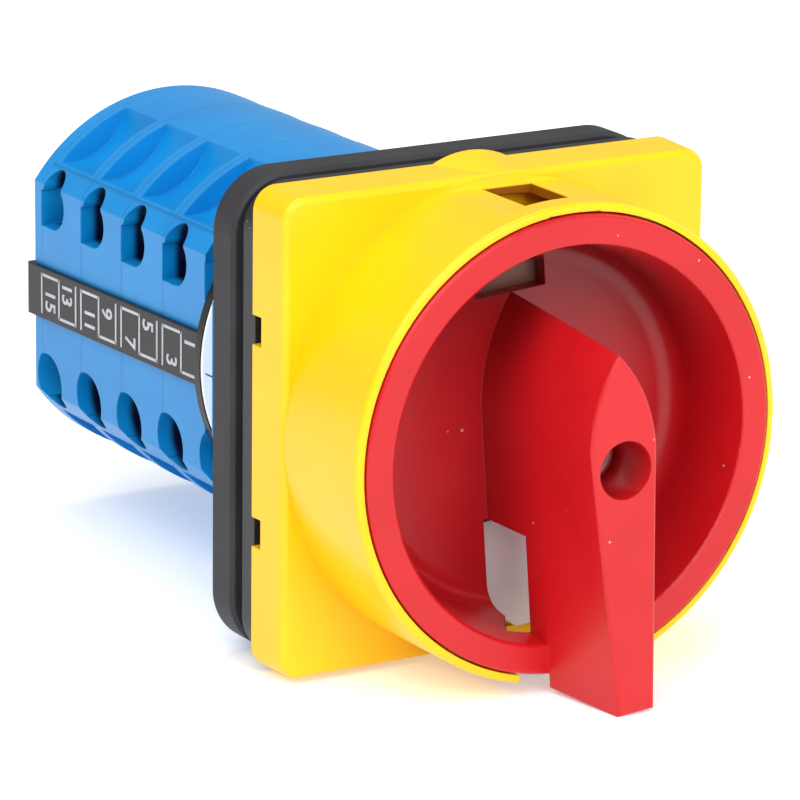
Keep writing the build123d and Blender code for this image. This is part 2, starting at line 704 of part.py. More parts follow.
def make_star_wheel():
    """Make the notched wheel that gives the switch its two firm positions."""
    notch_place = STAR_RADIUS + STAR_NOTCH * 0.6
    with BuildPart() as star_wheel:
        with BuildSketch(turned(STAR_FRONT)):
            Circle(STAR_RADIUS)
            with PolarLocations(notch_place, 4):
                Circle(STAR_NOTCH, mode=Mode.SUBTRACT)
        extrude(amount=-STAR_THICKNESS)
        square_hole(STAR_FRONT, STAR_THICKNESS)
    star_wheel.part.label = "star_wheel"
    export_step(star_wheel.part, "parts/star_wheel.step")


def make_stop_plate():
    """Make the plate whose lug meets the housing at both ends of the turn."""
    with BuildPart() as stop_plate:
        with BuildSketch(turned(STOP_FRONT)):
            Circle(STOP_HUB)
            lug_sweep(STOP_LUG_HALF_ANGLE, 0, 0, LATCH_CAVITY - 0.3)
        extrude(amount=-STOP_THICKNESS)
        square_hole(STOP_FRONT, STOP_THICKNESS)
    stop_plate.part.label = "stop_plate"
    export_step(stop_plate.part, "parts/stop_plate.step")


def make_detents():
    """Make the upper and lower detent plungers and their springs."""
    nose = DETENT_TIP + DETENT_WIDTH / 2
    spring_base = DETENT_TIP + DETENT_LENGTH + SPRING_WIRE
    middle = STAR_FRONT + STAR_THICKNESS / 2
    for side, word in ((1, "upper"), (-1, "lower")):
        with BuildPart() as plunger:
            with BuildSketch(across(STAR_FRONT)):
                with Locations((0, side * nose)):
                    Circle(DETENT_WIDTH / 2)
                with Locations((0, side * (nose + DETENT_TIP + DETENT_LENGTH) / 2)):
                    Rectangle(DETENT_WIDTH, DETENT_LENGTH - DETENT_WIDTH / 2)
            extrude(amount=-STAR_THICKNESS)
        plunger.part.label = f"detent_plunger_{word}"
        export_step(plunger.part, f"parts/detent_plunger_{word}.step")
        height = DETENT_ROOF - SPRING_WIRE - spring_base
        base = spring_base if side > 0 else -spring_base - height
        with BuildPart() as spring:
            coil((0, middle, base), height, SPRING_RADIUS, SPRING_WIRE, SPRING_TURNS)
        spring.part.label = f"detent_spring_{word}"
        export_step(spring.part, f"parts/detent_spring_{word}.step")


def make_scale():
    """Make the white scale card and the dark ring behind it."""
    pieces = (
        ("scale_card", card_front, CARD_RADIUS, CARD_THICKNESS),
        ("scale_ring", ring_front, RING_RADIUS, RING_THICKNESS),
    )
    for word, front, radius, thickness in pieces:
        with BuildPart() as disc:
            with BuildSketch(across(front)):
                Circle(radius)
                Circle(CAM_HUB + RUNNING, mode=Mode.SUBTRACT)
                with Locations(*tie_places()):
                    Circle(TIE_RADIUS + LOOSE, mode=Mode.SUBTRACT)
            extrude(amount=-thickness)
        disc.part.label = word
        export_step(disc.part, f"parts/{word}.step")


def make_deck(number):
    """Make one blue contact deck, closed in front by its web and open behind."""
    front = deck_front(number)
    inside = front + DECK_WEB
    depth = DECK_PITCH - DECK_WEB
    guide = PLUNGER_WIDTH / 2 + RUNNING
    rear = front + DECK_PITCH
    block = TERMINAL_FACE - TERMINAL_THICKNESS
    with BuildPart() as deck:
        with BuildSketch(across(front)):
            body_outline()
        extrude(amount=-DECK_PITCH)
        cut_disc(front, CAM_HUB + RUNNING, DECK_PITCH)
        cut_disc(inside, CAM_CHAMBER, depth)
        cut_block((-guide, inside, -STRIP_TOP), (guide, rear, STRIP_TOP))
        for side in sides:
            low, high = sorted((side * STRIP_TOP, side * chamber_top))
            cut_block((-CHAMBER_HALF_LENGTH, inside, low), (CHAMBER_HALF_LENGTH, rear, high))
            low, high = sorted((side * STRIP_TOP, side * SPRING_ROOF))
            well = SPRING_RADIUS + 0.6
            cut_block((-well, inside, low), (well, rear, high))
        for side_x, side_z in corners:
            slot = sorted((side_x * STRIP_INNER, side_x * TERMINAL_FACE))
            level = sorted((side_z * (STRIP_TOP - STRIP_THICKNESS), side_z * STRIP_TOP))
            cut_block((slot[0], front + STRIP_FRONT, level[0]), (slot[1], rear, level[1]))
            slot = sorted((side_x * block, side_x * TERMINAL_FACE))
            level = side_z * TERMINAL_HEIGHT
            half = TERMINAL_BLOCK / 2
            cut_block((slot[0], front + STRIP_FRONT, level - half), (slot[1], rear, level + half))
        cut_disc(front, TIE_RADIUS + LOOSE, DECK_PITCH, tie_places())
        cut_pockets(front + TERMINAL_DEPTH, TERMINAL_FACE)
        cut_pockets(front + TERMINAL_DEPTH - DECK_PITCH, TERMINAL_FACE)
        cut_scoops(front, DECK_PITCH)
    deck.part.label = f"deck_{number}"
    export_step(deck.part, f"parts/deck_{number}.step")


def make_cam(number):
    """Make one cam: its radius falls evenly over the handle's travel, then rises evenly again."""
    front = deck_front(number)
    steps = 6
    travel = radians(TURN + REST_SLACK)
    with BuildPart() as cam:
        with BuildSketch(across(front + DECK_WEB + LOOSE)):
            with BuildLine():
                for stretch in range(4):
                    rising = stretch % 2
                    start = pi / 2 + pi * (stretch // 2) + travel * rising
                    size = pi - travel if rising else travel
                    points = []
                    for step in range(steps + 1):
                        share = step / steps
                        radius = CAM_HIGH - cam_drop * (1 - share if rising else share)
                        angle = start + size * share
                        points.append((radius * cos(angle), radius * sin(angle)))
                    Spline(points)
            make_face()
        extrude(amount=-(DECK_PITCH - DECK_WEB - 2 * LOOSE))
        with BuildSketch(across(front)):
            Circle(CAM_HUB)
        extrude(amount=-DECK_PITCH)
        square_hole(front, DECK_PITCH)
    cam.part.label = f"cam_{number}"
    export_step(cam.part, f"parts/cam_{number}.step")


def make_plunger(number, deck, side):
    """Make one plunger, with its round nose at the cam and two cheeks beside the moving contact."""
    front = deck_front(deck)
    half = PLUNGER_WIDTH / 2
    tip = CAM_HIGH + TIP_CLEARANCE
    cheek = BRIDGE_WIDTH / 2 + RUNNING
    middle = front + BRIDGE_DEPTH
    with BuildPart() as plunger:
        with BuildSketch(across(front + DECK_WEB + LOOSE)):
            with BuildLine():
                Polyline(
                    (-TIP_RADIUS, side * (tip + TIP_RADIUS)),
                    (-half, side * PLUNGER_SHOULDER),
                    (-half, side * (bridge_top + CHEEK_RISE)),
                    (half, side * (bridge_top + CHEEK_RISE)),
                    (half, side * PLUNGER_SHOULDER),
                    (TIP_RADIUS, side * (tip + TIP_RADIUS)),
                )
                ThreePointArc(
                    (TIP_RADIUS, side * (tip + TIP_RADIUS)),
                    (0, side * tip),
                    (-TIP_RADIUS, side * (tip + TIP_RADIUS)),
                )
            make_face()
        extrude(amount=-(DECK_PITCH - DECK_WEB - 2 * LOOSE))
        low, high = sorted((side * bridge_bottom, side * SPRING_ROOF))
        cut_block((-half - 1, middle - cheek, low), (half + 1, middle + cheek, high))
    plunger.part.label = f"plunger_{number}"
    export_step(plunger.part, f"parts/plunger_{number}.step")


def make_bridge(number, deck, side):
    """Make one moving contact, a brass bar with a contact button near each end."""
    middle = deck_front(deck) + BRIDGE_DEPTH
    level = sorted((side * bridge_bottom, side * bridge_top))
    with BuildPart() as bridge:
        with Locations((0, middle, (level[0] + level[1]) / 2)):
            Box(2 * BRIDGE_HALF_LENGTH, BRIDGE_WIDTH, BRIDGE_THICKNESS)
        fillet(bridge.edges().filter_by(Axis.Z), 1.0)
        with BuildSketch(Plane.XY.offset(side * bridge_bottom)):
            with Locations((CONTACT_REACH, middle), (-CONTACT_REACH, middle)):
                Circle(CONTACT_RADIUS)
        extrude(amount=-side * CONTACT_RISE)
    bridge.part.label = f"bridge_{number}"
    export_step(bridge.part, f"parts/bridge_{number}.step")


def make_contact_springs():
    """Make the springs over the moving contacts, one row above the axis and one below."""
    base = bridge_top + SPRING_WIRE
    height = SPRING_ROOF - SPRING_WIRE - base
    for side, word in ((1, "upper"), (-1, "lower")):
        start = base if side > 0 else -base - height
        with BuildPart() as springs:
            for number in range(1, DECKS + 1):
                place = (0, deck_front(number) + BRIDGE_DEPTH, start)
                coil(place, height, SPRING_RADIUS, SPRING_WIRE, SPRING_TURNS)
        springs.part.label = f"contact_springs_{word}"
        export_step(springs.part, f"parts/contact_springs_{word}.step")


def make_fixed_contacts(number):
    """Make the four brass contacts of one deck, each with its terminal block and contact button."""
    front = deck_front(number)
    strip_middle = front + STRIP_FRONT + STRIP_WIDTH / 2
    with BuildPart() as fixed_contacts:
        for side_x, side_z in corners:
            length = TERMINAL_FACE - STRIP_INNER
            middle_x = side_x * (STRIP_INNER + length / 2)
            level = side_z * (STRIP_TOP - STRIP_THICKNESS / 2)
            with Locations((middle_x, strip_middle, level)):
                Box(length, STRIP_WIDTH, STRIP_THICKNESS)
            middle_x = side_x * (TERMINAL_FACE - TERMINAL_THICKNESS / 2)
            with Locations((middle_x, strip_middle, side_z * TERMINAL_HEIGHT)):
                Box(TERMINAL_THICKNESS, STRIP_WIDTH, TERMINAL_BLOCK)
            with BuildSketch(Plane.XY.offset(side_z * STRIP_TOP)):
                with Locations((side_x * CONTACT_REACH, front + BRIDGE_DEPTH)):
                    Circle(CONTACT_RADIUS)
            extrude(amount=side_z * CONTACT_RISE)
            block_face = side_x * (TERMINAL_FACE - TERMINAL_THICKNESS)
            with BuildSketch(terminal_plane(number, side_z, block_face)):
                Circle(TERMINAL_SCREW_RADIUS)
            extrude(amount=side_x * TERMINAL_THICKNESS, mode=Mode.SUBTRACT)
    fixed_contacts.part.label = f"fixed_contacts_{number}"
    export_step(fixed_contacts.part, f"parts/fixed_contacts_{number}.step")


def terminal_plane(number, side_z, distance):
    """Give the plane across one terminal's axis, at a distance from the switch's axis."""
    place = (distance, deck_front(number) + TERMINAL_DEPTH, side_z * TERMINAL_HEIGHT)
    return Plane(origin=place, x_dir=(0, 1, 0), z_dir=(1, 0, 0))


def make_terminal_clamps():
    """Make the sixteen round clamp washers that hold the wires."""
    with BuildPart() as terminal_clamps:
        for number in range(1, DECKS + 1):
            for side_x, side_z in corners:
                with BuildSketch(terminal_plane(number, side_z, side_x * TERMINAL_FACE)):
                    Circle(CLAMP_RADIUS)
                    Circle(TERMINAL_SCREW_RADIUS, mode=Mode.SUBTRACT)
                extrude(amount=side_x * CLAMP_THICKNESS)
    terminal_clamps.part.label = "terminal_clamps"
    export_step(terminal_clamps.part, "parts/terminal_clamps.step")


def make_terminal_screws():
    """Make the sixteen terminal screws."""
    with BuildPart() as terminal_screws:
        for number in range(1, DECKS + 1):
            for side_x, side_z in corners:
                with BuildSketch(terminal_plane(number, side_z, side_x * screw_base)):
                    Circle(TERMINAL_SCREW_HEAD)
                extrude(amount=side_x * TERMINAL_HEAD_THICKNESS)
                with BuildSketch(terminal_plane(number, side_z, side_x * screw_base)):
                    Circle(TERMINAL_SCREW_RADIUS)
                extrude(amount=-side_x * (CLAMP_THICKNESS + TERMINAL_THICKNESS))
                top = side_x * (screw_base + TERMINAL_HEAD_THICKNESS)
                with BuildSketch(terminal_plane(number, side_z, top)):
                    Rectangle(3.2, 0.6)
                    Rectangle(0.6, 3.2)
                extrude(amount=-side_x * 0.8, mode=Mode.SUBTRACT)
    terminal_screws.part.label = "terminal_screws"
    export_step(terminal_screws.part, "parts/terminal_screws.step")


def make_rear_cover():
    """Make the blue plate that closes the last deck."""
    with BuildPart() as rear_cover:
        with BuildSketch(across(cover_front)):
            body_outline()
        extrude(amount=-COVER_THICKNESS)
        fillet(rear_cover.faces().sort_by(Axis.Y)[-1].edges(), 0.6)
        cut_disc(cover_front, CAM_HUB, SHAFT_END + 0.3 - cover_front)
        cut_disc(cover_front, TIE_RADIUS + LOOSE, COVER_THICKNESS, tie_places())
        head_front_face = cover_rear - TIE_HEAD_THICKNESS
        cut_disc(head_front_face, TIE_HEAD + 0.2, TIE_HEAD_THICKNESS, tie_places())
        cut_pockets(cover_front - DECK_PITCH + TERMINAL_DEPTH, TERMINAL_FACE)
    rear_cover.part.label = "rear_cover"
    export_step(rear_cover.part, "parts/rear_cover.step")


def make_tie_bolts():
    """Make the two long bolts whose heads sit in the rear cover."""
    head_rest = cover_rear - TIE_HEAD_THICKNESS
    with BuildPart() as tie_bolts:
        with BuildSketch(across(NUT_FRONT)):
            with Locations(*tie_places()):
                Circle(TIE_RADIUS)
        extrude(amount=-(head_rest - NUT_FRONT))
        with BuildSketch(across(head_rest)):
            with Locations(*tie_places()):
                Circle(TIE_HEAD)
        extrude(amount=-TIE_HEAD_THICKNESS)
        chamfer(tie_bolts.faces().group_by(Axis.Y)[-1].edges(), 0.4)
        with BuildSketch(across(cover_rear)):
            with Locations(*tie_places()):
                Rectangle(3.4, 0.7)
                Rectangle(0.7, 3.4)
        extrude(amount=0.9, mode=Mode.SUBTRACT)
    tie_bolts.part.label = "tie_bolts"
    export_step(tie_bolts.part, "parts/tie_bolts.step")


def make_tie_nuts():
    """Make the two nuts that sit in the front of the latch housing."""
    with BuildPart() as tie_nuts:
        with BuildSketch(across(NUT_FRONT)):
            with Locations(*tie_places()):
                RegularPolygon(NUT_RADIUS, 6)
                Circle(TIE_RADIUS, mode=Mode.SUBTRACT)
        extrude(amount=-NUT_THICKNESS)
    tie_nuts.part.label = "tie_nuts"
    export_step(tie_nuts.part, "parts/tie_nuts.step")


def make_labels():
    """Make the two label strips on the side flats, each folded round behind the rear cover."""
    start = decks_front + LABEL_START
    outer = BODY_FLAT + LABEL_THICKNESS
    inner = BODY_FLAT - LABEL_WRAP
    rear = cover_rear + LABEL_THICKNESS
    half = LABEL_HEIGHT / 2
    drop = LABEL_DROP / 2
    for side, word in ((-1, "left"), (1, "right")):
        with BuildPart() as label:
            with BuildSketch(Plane.YZ.offset(side * BODY_FLAT)):
                with BuildLine():
                    Polyline(
                        (start, drop + half),
                        (rear, -drop + half),
                        (rear, -drop - half),
                        (start, drop - half),
                        close=True,
                    )
                make_face()
            extrude(amount=side * LABEL_THICKNESS)
            with Locations((side * (inner + outer) / 2, cover_rear + LABEL_THICKNESS / 2, -drop)):
                Box(LABEL_WRAP + LABEL_THICKNESS, LABEL_THICKNESS, LABEL_HEIGHT)
            corner = (side * outer, rear, -drop)
            fillet(label.edges().filter_by(Axis.Z).sort_by_distance(corner)[0], 0.75)
        label.part.label = f"label_{word}"
        export_step(label.part, f"parts/label_{word}.step")


make_gasket()
make_base_frame()
make_frame_screws()
make_front_plate()
make_handle()
make_handle_screw()
make_handle_washer()
make_shaft()
make_indicator_ring()
make_lock_slide()
make_lock_spring()
make_latch_housing()
make_star_wheel()
make_stop_plate()
make_detents()
make_scale()
for deck_number in range(1, DECKS + 1):
    make_deck(deck_number)
    make_cam(deck_number)
    make_fixed_contacts(deck_number)
    for offset, direction in ((1, 1), (2, -1)):
        plunger_number = 2 * (deck_number - 1) + offset
        make_plunger(plunger_number, deck_number, direction)
        make_bridge(plunger_number, deck_number, direction)
make_contact_springs()
make_terminal_clamps()
make_terminal_screws()
make_rear_cover()
make_tie_bolts()
make_tie_nuts()
make_labels()
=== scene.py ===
"""The looks of a panel-mounted rotary isolator switch, piece by piece in the order of assembly.

The frame has its origin on the switch's axis in the plane of the panel's front face, the handle at -Y,
the contact decks at +Y and +Z up. Lengths are in metres, and most are written in millimetres times MM.
"""

import math

import bmesh
import bpy
from mathutils import Matrix, Vector


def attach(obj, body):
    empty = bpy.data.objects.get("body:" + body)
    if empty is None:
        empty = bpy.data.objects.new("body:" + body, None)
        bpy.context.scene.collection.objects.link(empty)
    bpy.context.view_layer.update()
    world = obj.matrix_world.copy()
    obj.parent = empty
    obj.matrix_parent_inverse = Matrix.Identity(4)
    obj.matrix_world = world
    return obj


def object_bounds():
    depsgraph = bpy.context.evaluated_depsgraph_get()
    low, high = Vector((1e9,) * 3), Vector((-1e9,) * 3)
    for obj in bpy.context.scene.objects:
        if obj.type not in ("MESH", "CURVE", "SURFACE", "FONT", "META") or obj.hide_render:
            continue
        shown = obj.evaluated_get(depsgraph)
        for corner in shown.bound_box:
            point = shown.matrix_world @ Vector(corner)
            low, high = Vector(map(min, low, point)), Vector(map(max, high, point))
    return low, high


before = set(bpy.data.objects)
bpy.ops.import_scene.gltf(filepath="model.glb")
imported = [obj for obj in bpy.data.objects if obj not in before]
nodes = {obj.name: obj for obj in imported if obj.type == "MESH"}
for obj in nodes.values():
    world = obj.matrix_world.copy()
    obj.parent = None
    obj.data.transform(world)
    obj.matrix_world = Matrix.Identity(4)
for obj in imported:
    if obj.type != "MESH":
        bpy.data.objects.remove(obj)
cad_low, cad_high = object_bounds()
MM = 0.001

# Camera: it stands well back on the left, a little above the handle, and looks along the body.
camera_data = bpy.data.cameras.new("camera")
camera_data.lens = 243.93
camera_data.clip_start = 0.05
camera = bpy.data.objects.new("camera", camera_data)
bpy.context.scene.collection.objects.link(camera)
azimuth = math.radians(-31.119)
elevation = math.radians(15.555)
level = math.cos(elevation)
back = Vector((math.sin(azimuth) * level, -math.cos(azimuth) * level, math.sin(elevation)))
camera.rotation_mode = "QUATERNION"
turn = (-back).to_track_quat("-Z", "Y").to_matrix() @ Matrix.Rotation(math.radians(0.695), 3, "Z")
camera.rotation_quaternion = turn.to_quaternion()
camera.location = Vector((-3.819, 0, -2.188)) * MM + back * 714.79 * MM
bpy.context.scene.camera = camera
bpy.context.scene.view_settings.view_transform = "Standard"

# Light: white surroundings and four soft boxes, one high on the left, one wide in front, one on the right
# and one overhead, so that the faces towards the camera are the brightest and the insides fall off.
world = bpy.data.worlds.new("studio")
bpy.context.scene.world = world
world.use_nodes = True
world.node_tree.nodes["Background"].inputs["Color"].default_value = (1, 1, 1, 1)
world.node_tree.nodes["Background"].inputs["Strength"].default_value = 0.40


def soft_box(name, place, size, power):
    """Hang one square soft box that faces the switch."""
    data = bpy.data.lights.new(name, "AREA")
    data.shape = "SQUARE"
    data.size = size
    data.energy = power
    box = bpy.data.objects.new(name, data)
    bpy.context.scene.collection.objects.link(box)
    box.location = place
    box.rotation_mode = "QUATERNION"
    box.rotation_quaternion = (-Vector(place)).to_track_quat("-Z", "Y")


soft_box("light_high_left", (-0.60, -0.40, 0.80), 0.8, 8.0)
soft_box("light_front", (0.10, -0.95, 0.45), 0.7, 6.0)
soft_box("light_right", (0.85, -0.10, 0.35), 0.6, 2.0)
soft_box("light_overhead", (0.05, 0.15, 0.95), 0.5, 3.0)


class Signal:
    """A shader socket. Sums on it add Math nodes, and node() adds any other node to its material."""

    def __init__(self, tree, output=None):
        self.tree = tree
        self.output = output

    def node(self, kind, settings, inputs, result=0):
        """Add one node, set its settings and then its sockets, and give one of its outputs."""
        made = self.tree.nodes.new("ShaderNode" + kind)
        for name, value in settings.items():
            setattr(made, name, value)
        for name, value in inputs.items():
            if isinstance(value, Signal):
                self.tree.links.new(value.output, made.inputs[name])
            else:
                made.inputs[name].default_value = value
        return Signal(self.tree, made.outputs[result])

    def sum(self, operation, first, second):
        """Add one Math node with two inputs."""
        return self.node("Math", {"operation": operation}, {0: first, 1: second})

    def single(self, operation):
        """Add one Math node with one input."""
        return self.node("Math", {"operation": operation}, {0: self})

    def __add__(self, other):
        return self.sum("ADD", self, other)

    def __radd__(self, other):
        return self.sum("ADD", other, self)

    def __sub__(self, other):
        return self.sum("SUBTRACT", self, other)

    def __rsub__(self, other):
        return self.sum("SUBTRACT", other, self)

    def __mul__(self, other):
        return self.sum("MULTIPLY", self, other)

    def __rmul__(self, other):
        return self.sum("MULTIPLY", other, self)

    def __abs__(self):
        return self.single("ABSOLUTE")

    def over(self, low, high):
        """Give 0 below low, 1 above high and a smooth rise between them."""
        inputs = {"Value": self, "From Min": low, "From Max": high, "To Min": 0.0, "To Max": 1.0}
        return self.node("MapRange", {"interpolation_type": "SMOOTHSTEP"}, inputs)

    def mix(self, first, second):
        """Mix two colours, or two links to colours, by this signal."""
        inputs = {"Factor": self, 6: first, 7: second}
        return self.node("Mix", {"data_type": "RGBA"}, inputs, 2)


def rgb(red, green, blue):
    """Give the linear colour of three display values from 0 to 255."""
    shares = [value / 255 for value in (red, green, blue)]
    return tuple(s / 12.92 if s <= 0.04045 else ((s + 0.055) / 1.055) ** 2.4 for s in shares) + (1,)


def new_finish(name, **fixed):
    """Start a material, and give it, a Signal for its nodes and a function that fills shader sockets."""
    material = bpy.data.materials.new(name)
    material.use_nodes = True
    tree = material.node_tree
    shader = tree.nodes["Principled BSDF"]
    for socket, value in fixed.items():
        shader.inputs[socket.replace("_", " ")].default_value = value

    def fill(socket, value):
        tree.links.new(value.output, shader.inputs[socket])

    return material, Signal(tree), fill


# Floor: a plain white table that the switch's square front plate stands on.
# It glows faintly, so that the shadow on it stays pale.
floor_mesh = bpy.data.meshes.new("floor")
floor_shape = bmesh.new()
bmesh.ops.create_grid(floor_shape, x_segments=1, y_segments=1, size=4)
bmesh.ops.translate(floor_shape, verts=floor_shape.verts, vec=(0, 0, cad_low.z))
floor_shape.to_mesh(floor_mesh)
floor_shape.free()
floor = bpy.data.objects.new("floor", floor_mesh)
bpy.context.scene.collection.objects.link(floor)
fixed = {"Roughness": 0.8, "Emission_Color": (1, 1, 1, 1), "Emission_Strength": 0.28}
table, start, fill = new_finish("floor", **fixed)
place = start.node("TexCoord", {}, {}, "Object")
cloud = start.node("TexNoise", {}, {"Vector": place, "Scale": 6.0, "Detail": 2.0})
fill("Base Color", cloud.over(0.3, 0.7).mix((0.90, 0.90, 0.90, 1), (0.94, 0.94, 0.94, 1)))
floor_mesh.materials.append(table)


# Gasket: a square of moulded black rubber, 5 mm thick, that the panel bolts squeeze against the panel.
# It lies loose behind the base frame, matt, with pale dust on it.
def moulded(name, main, pale, roughness, grain, height, dust=0.0, edge=0.00025, shade=None, shine=0.40):
    """Make a moulded plastic: cloudy flow marks, a fine spark-eroded grain, soft edges and a little dust."""
    material, start, fill = new_finish(name, Specular_IOR_Level=shine)
    place = start.node("TexCoord", {}, {}, "Object")
    cloud = start.node("TexNoise", {}, {"Vector": place, "Scale": 70.0, "Detail": 3.0, "Roughness": 0.55})
    fine = start.node("TexNoise", {}, {"Vector": place, "Scale": grain, "Detail": 2.0, "Roughness": 0.6})
    colour = cloud.over(0.3, 0.72).mix(main, pale)
    if shade:
        colour = shade(place, colour)
    if dust:
        cells = {"Vector": place, "Scale": 480.0, "Randomness": 1.0}
        distance = start.node("TexVoronoi", {}, cells, "Distance")
        pick = start.node("TexVoronoi", {}, cells, "Color")
        chosen = start.node("SeparateColor", {}, {"Color": pick}, 0).over(0.91, 0.92)
        size = start.node("SeparateColor", {}, {"Color": pick}, 1) * 0.06
        speck = (1 - (distance - size).over(0.02, 0.05)) * chosen * dust
        colour = speck.mix(colour, (0.85, 0.83, 0.81, 1))
    fill("Base Color", colour)
    fill("Roughness", roughness + (cloud - 0.5) * 0.12 + (fine - 0.5) * 0.10)
    soft = start.node("Bevel", {"samples": 4}, {"Radius": edge})
    bump = {"Height": fine, "Strength": 1.0, "Distance": height, "Normal": soft}
    fill("Normal", start.node("Bump", {}, bump))
    return material


def finish_nodes(material, *names):
    """Give each of the named CAD nodes one material."""
    for name in names:
        mesh = nodes[name].data
        mesh.materials.clear()
        mesh.materials.append(material)


rubber_look = {"dust": 0.8, "shine": 0.28}
rubber = moulded("black_rubber", rgb(42, 42, 45), rgb(52, 52, 56), 0.55, 2600.0, 0.00002, **rubber_look)
finish_nodes(rubber, "gasket")

# Base frame: moulded black plastic with a groove round it and a fine spark-eroded face. Four tongues hold
# the yellow plate, and its tube carries the handle's hub.
black = moulded("black_plastic", rgb(24, 24, 27), rgb(32, 32, 35), 0.42, 3200.0, 0.00001, dust=0.4)
finish_nodes(black, "base_frame")


# Frame screws: two zinc-plated screws with cross recesses. They draw the frame and the latch housing
# together, with the gasket and the panel between them.
def plated(name, tint, roughness, brushed):
    """Make a plated or drawn metal with fine tool marks and cloudy plating."""
    material, start, fill = new_finish(name, Metallic=1.0)
    place = start.node("TexCoord", {}, {}, "Object")
    cloud = start.node("TexNoise", {}, {"Vector": place, "Scale": 300.0, "Detail": 3.0})
    drawn = start.node("Mapping", {}, {"Vector": place, "Scale": brushed})
    marks = start.node("TexNoise", {}, {"Vector": drawn, "Scale": 900.0, "Detail": 2.0})
    dull = tuple(0.72 * value for value in tint[:3]) + (1,)
    fill("Base Color", cloud.over(0.35, 0.7).mix(tint, dull))
    fill("Roughness", roughness + (marks - 0.5) * 0.25)
    fill("Normal", start.node("Bump", {}, {"Height": marks, "Strength": 0.6, "Distance": 0.000008}))
    return material


steel = plated("plated_steel", rgb(222, 222, 226), 0.3, (1, 0.15, 1))
finish_nodes(steel, "frame_screws")


# Latch housing: moulded blue plastic just behind the panel, with the fifth pair of holes in each side flat.
# Its flange takes the panel bolts.
def along(place, index):
    """Give one coordinate of a place as a signal: 0 for x, 1 for y and 2 for z."""
    return place.node("SeparateXYZ", {}, {"Vector": place}, index)


def darker_holes(place, colour):
    """Paint shade into the depths of the terminal holes."""
    x = along(place, 0)
    z = along(place, 2)
    deep = (1 - abs(x).over(18.7 * MM, 20.0 * MM)) * (1 - abs(z).over(17.5 * MM, 17.7 * MM))
    return deep.mix(colour, rgb(2, 6, 48))


blue_main = rgb(0, 128, 199)
blue_pale = rgb(8, 138, 207)
# The terminal holes' depths get painted shade.
blue = moulded("blue_plastic", blue_main, blue_pale, 0.36, 2400.0, 0.00001, shade=darker_holes)
finish_nodes(blue, "latch_housing")

# Tie nuts: two zinc-plated hexagon nuts in pockets in the front of the latch housing. The tie bolts end in
# them.
finish_nodes(steel, "tie_nuts")

# Star wheel: natural white acetal on the square shaft, with four notches round it. It turns between the two
# detent plungers.
acetal = moulded("cam_plastic", rgb(226, 222, 208), rgb(238, 235, 224), 0.4, 2600.0, 0.000008)
finish_nodes(acetal, "star_wheel")

# Detent plungers: two acetal slides with round noses, above and below the star wheel. They run in guides in
# the latch housing.
finish_nodes(acetal, "detent_plunger_upper", "detent_plunger_lower")

# Detent springs: compression springs of drawn steel wire. Each stands between its plunger and the end of
# the guide.
wire = plated("spring_steel", rgb(176, 176, 182), 0.26, (1, 1, 1))
finish_nodes(wire, "detent_spring_upper", "detent_spring_lower")

# Stop plate: stamped and zinc-plated steel on the square shaft. Its lug meets the housing at both ends of
# the turn.
finish_nodes(steel, "stop_plate")


# Scale card: white printed card between the latch housing and the first deck, held by the tie bolts. Black
# ticks stand round its edge, and it sticks out beside the flats.
def printed(name, body, ink, place, words, bars):
    """Print words and bars on a piece: place() takes their flat layout, in millimetres, to the frame."""
    shape = bmesh.new()
    for text, right, up, height in words:
        curve = bpy.data.curves.new("figure", "FONT")
        curve.body = text
        curve.extrude = 0.01
        curve.offset = 0.02
        writer = bpy.data.objects.new("figure", curve)
        bpy.context.scene.collection.objects.link(writer)
        view = bpy.context.evaluated_depsgraph_get()
        mesh = bpy.data.meshes.new_from_object(writer.evaluated_get(view))
        low = Vector([min(vert.co[i] for vert in mesh.vertices) for i in range(3)])
        high = Vector([max(vert.co[i] for vert in mesh.vertices) for i in range(3)])
        scale = height / (high.y - low.y)
        sized = Matrix.Diagonal((0.85 * scale, scale, 1, 1))
        mesh.transform(Matrix.Translation((right, up, 0)) @ sized @ Matrix.Translation(-(low + high) / 2))
        shape.from_mesh(mesh)
        bpy.data.objects.remove(writer)
        bpy.data.curves.remove(curve)
        bpy.data.meshes.remove(mesh)
    for right, up, width, height, angle in bars:
        matrix = Matrix.Translation((right, up, 0)) @ Matrix.Rotation(angle, 4, "Z")
        matrix = matrix @ Matrix.Diagonal((width, height, 1, 1))
        bmesh.ops.create_cube(shape, size=1, matrix=matrix)
    bmesh.ops.remove_doubles(shape, verts=shape.verts, dist=0.0001)
    for vert in shape.verts:
        rise = 0.035 if vert.co.z > 0 else 0.005
        vert.co = place(vert.co.x, vert.co.y, rise) * MM
    bmesh.ops.recalc_face_normals(shape, faces=shape.faces)
    mesh = bpy.data.meshes.new(name)
    shape.to_mesh(mesh)
    shape.free()
    mesh.materials.append(ink)
    piece = bpy.data.objects.new(name, mesh)
    bpy.context.scene.collection.objects.link(piece)
    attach(piece, body)


card = moulded("white_card", rgb(240, 240, 242), rgb(250, 250, 250), 0.5, 3000.0, 0.000004)
# The card glows faintly: painted light that keeps it white where the housing and gasket shade it.
card_shader = card.node_tree.nodes["Principled BSDF"]
card_shader.inputs["Emission Color"].default_value = (1, 1, 1, 1)
card_shader.inputs["Emission Strength"].default_value = 0.25
finish_nodes(card, "scale_card")
black_ink = moulded("black_ink", rgb(20, 20, 22), rgb(34, 34, 36), 0.5, 4000.0, 0.000002)
tick_circle = 22.0
card_front = 19.2
ticks = []
for number in range(12):
    bearing = math.radians(30 * number + 182.8)
    right = tick_circle * math.cos(bearing)
    up = tick_circle * math.sin(bearing)
    ticks.append((right, up, 1.3, 0.16, bearing - math.radians(33)))


def card_place(right, up, rise):
    """Give the place on the card's front of a layout that is read from the panel."""
    return Vector((right, card_front - rise, up))


printed("scale_ticks", "housing", black_ink, card_place, [], ticks)

# Scale ring: a thin ring of black plastic behind the card. The tie bolts clamp it against the first deck.
finish_nodes(black, "scale_ring")


